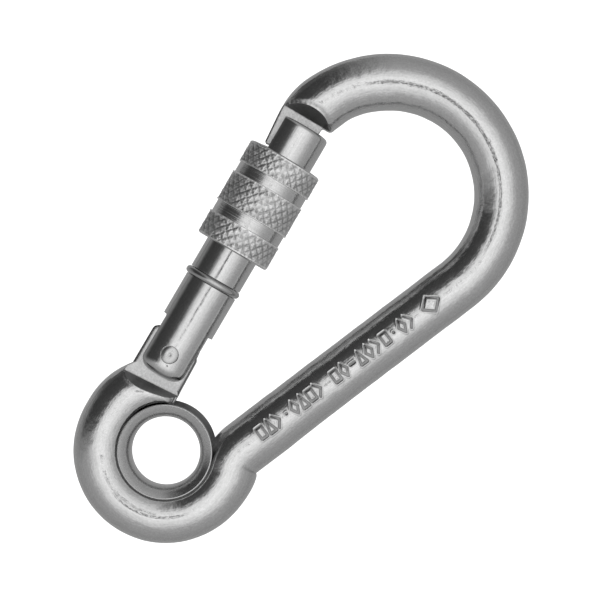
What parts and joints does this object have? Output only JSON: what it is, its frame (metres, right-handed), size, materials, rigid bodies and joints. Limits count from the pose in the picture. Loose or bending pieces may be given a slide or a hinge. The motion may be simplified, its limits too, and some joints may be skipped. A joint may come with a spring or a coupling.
{
  "type": "screw-gate spring hook with eyelet",
  "caption": "Pear-shaped stainless spring hook: round bar bent to an eye with a flanged eyelet, and a sprung gate locked by a knurled screw sleeve.",
  "frame": {"origin": "centre of the eyelet's hole, on the bar's middle plane", "axes": "+X along the hook from the eye to the bow, +Y towards the gate, +Z along the eyelet's hole"},
  "size_m": [0.0995, 0.0487, 0.0138],
  "materials": {
    "polished_bar": "tumble polished stainless, fine satin where milled",
    "turned_eyelet": "satin turned stainless",
    "wire": "drawn stainless wire",
    "knurled_sleeve": "diamond knurl with bright turned grooves"
  },
  "bodies": {
    "hook": {"hook_body": "polished_bar", "eyelet": "turned_eyelet"},
    "gate": {"gate_rod": "polished_bar", "hinge_rivet": "turned_eyelet", "stop_ring": "wire", "return_spring": "wire"},
    "plunger": {"plunger": "turned_eyelet"},
    "sleeve": {"lock_sleeve": "knurled_sleeve"}
  },
  "joints": [
    {"name": "gate_swing", "type": "hinge", "parent": "hook", "child": "gate", "pos_m": [0.01312, 0.01045, 0], "axis": [0, 0, -1], "range_deg": [0, 30], "stiffness_Nm_per_rad": 0.48, "springref_deg": -24.06},
    {"name": "plunger_slide", "type": "slide", "parent": "gate", "child": "plunger", "axis": [0.981, 0.1942, 0], "range_m": [0, 0.0012], "deforming": ["return_spring"]},
    {"name": "sleeve_travel", "type": "slide", "parent": "gate", "child": "sleeve", "axis": [0.981, 0.1942, 0], "range_m": [-0.0054, 0.007]}
  ],
  "couplings": [
    {"joint": "plunger_slide", "follows": "gate_swing", "m_per_rad": 0.002}
  ]
}
